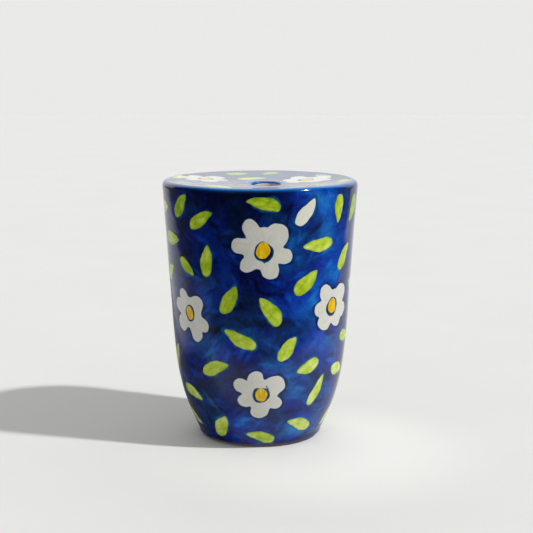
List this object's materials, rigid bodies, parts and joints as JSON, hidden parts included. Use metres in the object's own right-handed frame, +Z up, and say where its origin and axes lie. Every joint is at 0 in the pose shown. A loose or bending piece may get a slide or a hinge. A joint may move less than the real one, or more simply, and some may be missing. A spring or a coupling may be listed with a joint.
{
  "type": "talavera pottery vase",
  "caption": "Small tapering earthenware bud vase with a closed, sunken top, one round mouth and painted flowers and leaves.",
  "frame": {"origin": "centre of the foot on the table", "axes": "+Z up along the vase's height; +X to the right of the side that carries the full flower above and below, which faces -Y"},
  "size_m": [0.1204, 0.1204, 0.16],
  "materials": {
    "bare_clay": "matt unglazed earthenware",
    "painted_glaze": "glossy cobalt-blue tin glaze with painted white flowers, orange centres and green leaves",
    "clear_glaze": "glossy clear glaze over the clay"
  },
  "bodies": {
    "root": {"foot_ring": "bare_clay", "thrown_cup": "bare_clay", "sealing_coil": "bare_clay", "top_slab": "bare_clay", "painted_coat": "painted_glaze", "liner_coat": "clear_glaze"}
  },
  "joints": []
}
